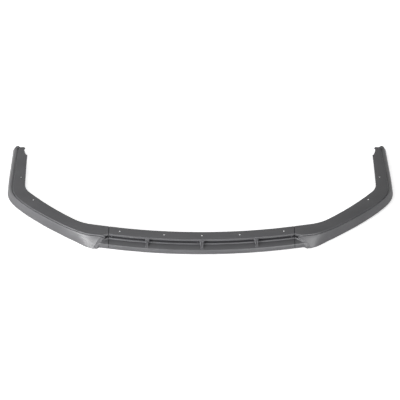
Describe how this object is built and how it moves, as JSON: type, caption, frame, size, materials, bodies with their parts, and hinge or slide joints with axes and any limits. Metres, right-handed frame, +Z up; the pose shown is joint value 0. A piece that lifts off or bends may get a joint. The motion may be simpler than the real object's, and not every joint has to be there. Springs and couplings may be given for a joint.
{
  "type": "front splitter lip",
  "caption": "Low front splitter lip for a car bumper: a bowed centre section with a recessed channel and fins, butted to swept side blades with rearward arms.",
  "frame": {"origin": "middle of the footprint, on the underside", "axes": "X along the width, the viewer's right seen from the front; minus Y to the front; Z up"},
  "size_m": [1.8116, 0.7265, 0.053],
  "materials": {
    "black_plastic": "satin black moulded plastic",
    "zinc_steel": "zinc plated"
  },
  "bodies": {
    "root": {"centre_section": "black_plastic", "left_side_section": "black_plastic", "right_side_section": "black_plastic", "joint_screw_1": "zinc_steel", "joint_screw_2": "zinc_steel", "joint_screw_3": "zinc_steel", "joint_screw_4": "zinc_steel", "joint_washer_1": "zinc_steel", "joint_washer_2": "zinc_steel", "joint_washer_3": "zinc_steel", "joint_washer_4": "zinc_steel", "joint_nut_1": "zinc_steel", "joint_nut_2": "zinc_steel", "joint_nut_3": "zinc_steel", "joint_nut_4": "zinc_steel"}
  },
  "joints": []
}
